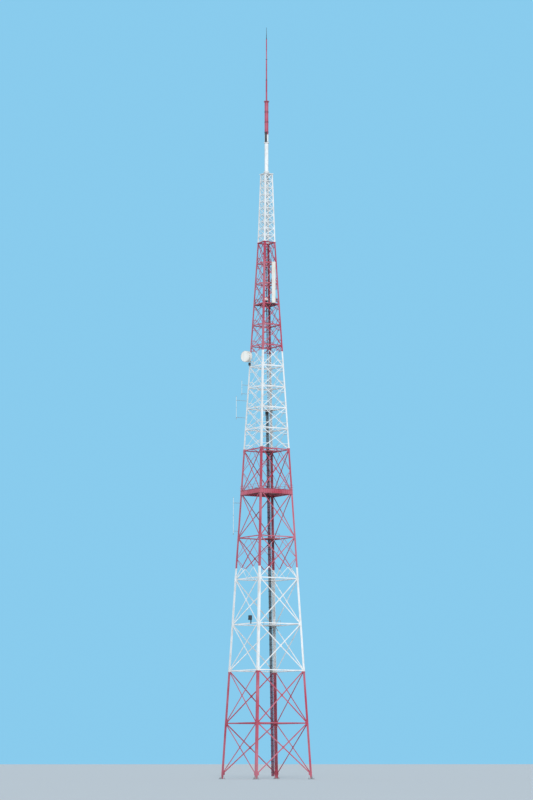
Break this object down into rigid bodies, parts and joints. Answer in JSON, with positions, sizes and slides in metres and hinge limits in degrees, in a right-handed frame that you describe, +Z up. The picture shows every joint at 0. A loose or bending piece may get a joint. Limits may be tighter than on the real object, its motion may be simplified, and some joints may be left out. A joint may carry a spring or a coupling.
{
  "type": "1:10 scale model of a free-standing lattice radio mast",
  "caption": "Free-standing square lattice radio mast, a 1:10 scale model, with banded paint, a ring gallery, small platforms, a ladder, a dish and stacked antennas.",
  "frame": {"origin": "centre of the underside of the south-west foot plate", "axes": "+Z up along the mast, +X from the south-west foot to the south-east foot, +Y from the south-west foot to the north-west foot"},
  "size_m": [1.56, 1.56, 17.31],
  "materials": {
    "red_paint": "weathered satin",
    "white_paint": "weathered satin",
    "banded_paint": "weathered satin, red above and white below in bands",
    "galvanised_steel": "dull zinc",
    "dark_steel": "satin",
    "black_jacket": "matte",
    "white_radome": "satin",
    "red_radome": "satin",
    "clear_glass": "clear"
  },
  "bodies": {
    "root": {"beacon_light": "clear_glass", "beacon_platform": "galvanised_steel", "dish_mount": "galvanised_steel", "east_side_base": "red_paint", "east_side_lower": "white_paint", "east_side_middle": "red_paint", "east_side_upper": "banded_paint", "equipment_boxes": "dark_steel", "feeder_lines": "black_jacket", "foot_plates": "galvanised_steel", "gallery_deck": "red_paint", "gallery_girders": "red_paint", "ladder": "galvanised_steel", "leg_splices": "banded_paint", "legs_base": "red_paint", "legs_lower": "white_paint", "legs_middle": "red_paint", "legs_upper": "banded_paint", "lightning_rod": "dark_steel", "main_antenna": "red_radome", "microwave_dish": "white_radome", "neck_bracing": "white_paint", "neck_cap": "white_paint", "neck_legs": "white_paint", "north_side_base": "red_paint", "north_side_lower": "white_paint", "north_side_middle": "red_paint", "north_side_upper": "banded_paint", "panel_antenna": "white_radome", "panel_brackets": "dark_steel", "plan_bracing": "white_paint", "pole": "white_paint", "rest_platforms": "galvanised_steel", "south_side_base": "red_paint", "south_side_lower": "white_paint", "south_side_middle": "red_paint", "south_side_upper": "banded_paint", "stack_flanges": "banded_paint", "upper_antenna": "red_radome", "waist_plate": "red_paint", "west_side_base": "red_paint", "west_side_lower": "white_paint", "west_side_middle": "red_paint", "west_side_upper": "banded_paint", "whip_antennas": "white_radome", "whip_arms": "galvanised_steel"}
  },
  "joints": []
}
